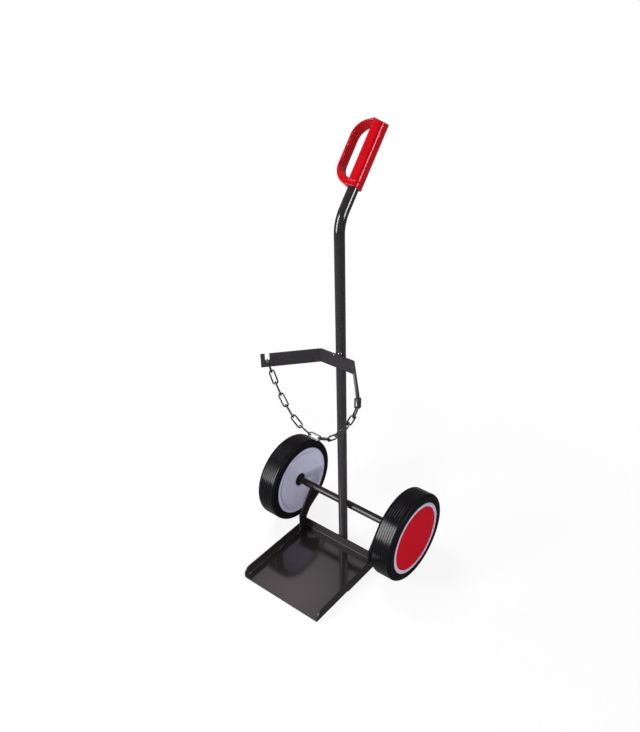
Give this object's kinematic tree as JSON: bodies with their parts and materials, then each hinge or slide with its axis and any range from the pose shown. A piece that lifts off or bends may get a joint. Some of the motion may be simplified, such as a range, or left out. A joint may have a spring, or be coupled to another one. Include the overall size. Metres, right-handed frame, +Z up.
{
  "type": "gas cylinder trolley",
  "caption": "Two-wheeled gas cylinder trolley: bent tube mast with a red D-handle, toe tray, flat-bar cradle with a hanging safety chain, and solid rubber wheels.",
  "frame": {"origin": "centre of the toe tray's underside, on the floor", "axes": "+Z up along the mast, -Y the front where the tray opens, +X to the right seen from the front"},
  "size_m": [0.456, 0.4335, 1.1355],
  "materials": {
    "frame_paint": "charcoal paint, glossy on the tray",
    "zinc_steel": "zinc-plated steel",
    "bush_plastic": "black nylon",
    "chain_steel": "dark drawn steel wire, welded links",
    "handle_plastic": "smooth moulded red",
    "cover_plastic": "satin moulded red",
    "rim_plastic": "satin grey moulding",
    "tyre_rubber": "solid black rubber, ribbed tread"
  },
  "bodies": {
    "frame": {"toe_tray": "frame_paint", "mast_tube": "frame_paint", "cradle_bar": "frame_paint", "axle_tube": "frame_paint", "axle_bracket_left": "frame_paint", "axle_bracket_right": "frame_paint", "weld_beads": "frame_paint", "stop_collar_left": "frame_paint", "stop_collar_right": "frame_paint", "handle_grip": "handle_plastic", "axle_washer_left": "zinc_steel", "axle_washer_right": "zinc_steel", "axle_cap_left": "zinc_steel", "axle_cap_right": "zinc_steel"},
    "wheel_left": {"tyre_left": "tyre_rubber", "rim_left": "rim_plastic", "hub_bush_left": "bush_plastic", "wheel_cover_left": "cover_plastic"},
    "wheel_right": {"tyre_right": "tyre_rubber", "rim_right": "rim_plastic", "hub_bush_right": "bush_plastic", "wheel_cover_right": "cover_plastic"},
    "chain_loop": {"chain_link_02": "chain_steel", "chain_link_03": "chain_steel", "chain_link_04": "chain_steel", "chain_link_05": "chain_steel", "chain_link_06": "chain_steel", "chain_link_07": "chain_steel", "chain_link_08": "chain_steel", "chain_link_09": "chain_steel", "chain_link_10": "chain_steel", "chain_link_11": "chain_steel", "chain_link_12": "chain_steel", "chain_link_13": "chain_steel", "chain_link_14": "chain_steel"},
    "hook_link": {"chain_link_01": "chain_steel"},
    "eye_link": {"chain_link_15": "chain_steel"}
  },
  "joints": [
    {"name": "wheel_left_spin", "type": "hinge", "parent": "frame", "child": "wheel_left", "pos_m": [-0.198, 0.164, 0.125], "axis": [1, 0, 0], "continuous": true},
    {"name": "wheel_right_spin", "type": "hinge", "parent": "frame", "child": "wheel_right", "pos_m": [0.198, 0.164, 0.125], "axis": [1, 0, 0], "continuous": true},
    {"name": "chain_swing", "type": "hinge", "parent": "frame", "child": "chain_loop", "pos_m": [0, 0.03603, 0.57302], "axis": [1, 0, 0], "range_deg": [-50, 12]},
    {"name": "hook_link_rock", "type": "hinge", "parent": "frame", "child": "hook_link", "pos_m": [-0.13651, 0.02829, 0.60323], "axis": [0.749, -0.6626, 0], "range_deg": [-2.1, 0.6]},
    {"name": "eye_link_rock", "type": "hinge", "parent": "frame", "child": "eye_link", "pos_m": [0.13651, 0.02829, 0.60323], "axis": [0.749, 0.6626, 0], "range_deg": [-2.1, 0.6]}
  ],
  "couplings": [
    {"joint": "hook_link_rock", "follows": "chain_swing", "ratio": 0.04},
    {"joint": "eye_link_rock", "follows": "chain_swing", "ratio": 0.04}
  ]
}
